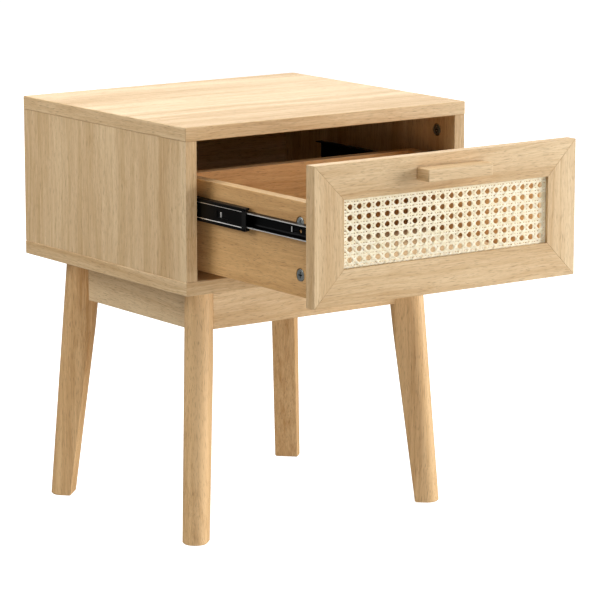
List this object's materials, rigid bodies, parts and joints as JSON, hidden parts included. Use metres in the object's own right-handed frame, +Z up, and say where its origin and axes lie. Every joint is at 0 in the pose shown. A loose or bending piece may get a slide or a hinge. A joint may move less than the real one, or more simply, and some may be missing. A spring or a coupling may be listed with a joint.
{
  "type": "nightstand",
  "caption": "Small wooden nightstand on splayed legs, with a drawer that runs on ball-bearing slides behind a mitred frame with a woven cane front.",
  "frame": {"origin": "on the floor, midway between the four feet, under the centre of the cabinet", "axes": "+X to the right seen from the front, +Y towards the back, +Z up; the drawer is stored part open towards -Y"},
  "size_m": [0.4, 0.593, 0.49],
  "materials": {
    "oak": "clear matte lacquer",
    "plywood": "clear matte lacquer",
    "cane": "natural woven cane",
    "dowel_beech": "raw",
    "black_steel": "black, semi-gloss",
    "black_plastic": "moulded",
    "bearing_steel": "polished",
    "zinc_alloy": "die cast",
    "zinc_plated_steel": "zinc plated"
  },
  "bodies": {
    "cabinet": {"apron_dowels": "dowel_beech", "back_apron": "oak", "back_left_brace": "oak", "back_left_leg": "oak", "back_panel": "plywood", "back_panel_pins": "zinc_plated_steel", "back_right_brace": "oak", "back_right_leg": "oak", "bottom_panel": "oak", "brace_screws": "zinc_plated_steel", "cabinet_cam_bolts": "zinc_plated_steel", "cabinet_cam_locks": "zinc_alloy", "front_apron": "oak", "front_left_brace": "oak", "front_left_leg": "oak", "front_right_brace": "oak", "front_right_leg": "oak", "left_apron": "oak", "left_side_panel": "oak", "left_slide_cabinet_member": "black_steel", "leg_bolt_nuts": "zinc_plated_steel", "leg_bolt_washers": "zinc_plated_steel", "leg_bolts": "zinc_plated_steel", "panel_dowels": "dowel_beech", "right_apron": "oak", "right_side_panel": "oak", "right_slide_cabinet_member": "black_steel", "slide_cabinet_screws": "black_steel", "top_panel": "oak"},
    "drawer": {"cane_panel": "cane", "cane_retainer_strips": "oak", "drawer_back": "oak", "drawer_back_screws": "zinc_plated_steel", "drawer_bottom": "plywood", "drawer_bottom_screws": "zinc_plated_steel", "drawer_cam_bolts": "zinc_plated_steel", "drawer_cam_locks": "zinc_alloy", "drawer_front_bottom_rail": "oak", "drawer_front_left_stile": "oak", "drawer_front_right_stile": "oak", "drawer_front_top_rail": "oak", "drawer_left_side": "oak", "drawer_right_side": "oak", "handle": "oak", "handle_screws": "zinc_plated_steel", "left_slide_drawer_member": "black_steel", "right_slide_drawer_member": "black_steel", "slide_drawer_screws": "black_steel"},
    "left_slide_middle": {"left_slide_middle_member": "black_steel", "left_slide_bumper": "black_plastic"},
    "left_outer_ball_cage": {"left_slide_outer_balls": "bearing_steel"},
    "left_inner_ball_cage": {"left_slide_inner_balls": "bearing_steel"},
    "right_slide_middle": {"right_slide_middle_member": "black_steel", "right_slide_bumper": "black_plastic"},
    "right_outer_ball_cage": {"right_slide_outer_balls": "bearing_steel"},
    "right_inner_ball_cage": {"right_slide_inner_balls": "bearing_steel"}
  },
  "joints": [
    {"name": "drawer_slide", "type": "slide", "parent": "cabinet", "child": "drawer", "axis": [0, -1, 0], "range_m": [-0.221, 0.029]},
    {"name": "left_middle_slide", "type": "slide", "parent": "cabinet", "child": "left_slide_middle", "axis": [0, -1, 0], "range_m": [-0.1105, 0.0145]},
    {"name": "left_outer_cage_slide", "type": "slide", "parent": "cabinet", "child": "left_outer_ball_cage", "axis": [0, -1, 0], "range_m": [-0.05525, 0.00725]},
    {"name": "left_inner_cage_slide", "type": "slide", "parent": "cabinet", "child": "left_inner_ball_cage", "axis": [0, -1, 0], "range_m": [-0.16575, 0.02175]},
    {"name": "right_middle_slide", "type": "slide", "parent": "cabinet", "child": "right_slide_middle", "axis": [0, -1, 0], "range_m": [-0.1105, 0.0145]},
    {"name": "right_outer_cage_slide", "type": "slide", "parent": "cabinet", "child": "right_outer_ball_cage", "axis": [0, -1, 0], "range_m": [-0.05525, 0.00725]},
    {"name": "right_inner_cage_slide", "type": "slide", "parent": "cabinet", "child": "right_inner_ball_cage", "axis": [0, -1, 0], "range_m": [-0.16575, 0.02175]}
  ],
  "couplings": [
    {"joint": "left_middle_slide", "follows": "drawer_slide", "ratio": 0.5},
    {"joint": "left_outer_cage_slide", "follows": "drawer_slide", "ratio": 0.25},
    {"joint": "left_inner_cage_slide", "follows": "drawer_slide", "ratio": 0.75},
    {"joint": "right_middle_slide", "follows": "drawer_slide", "ratio": 0.5},
    {"joint": "right_outer_cage_slide", "follows": "drawer_slide", "ratio": 0.25},
    {"joint": "right_inner_cage_slide", "follows": "drawer_slide", "ratio": 0.75}
  ]
}
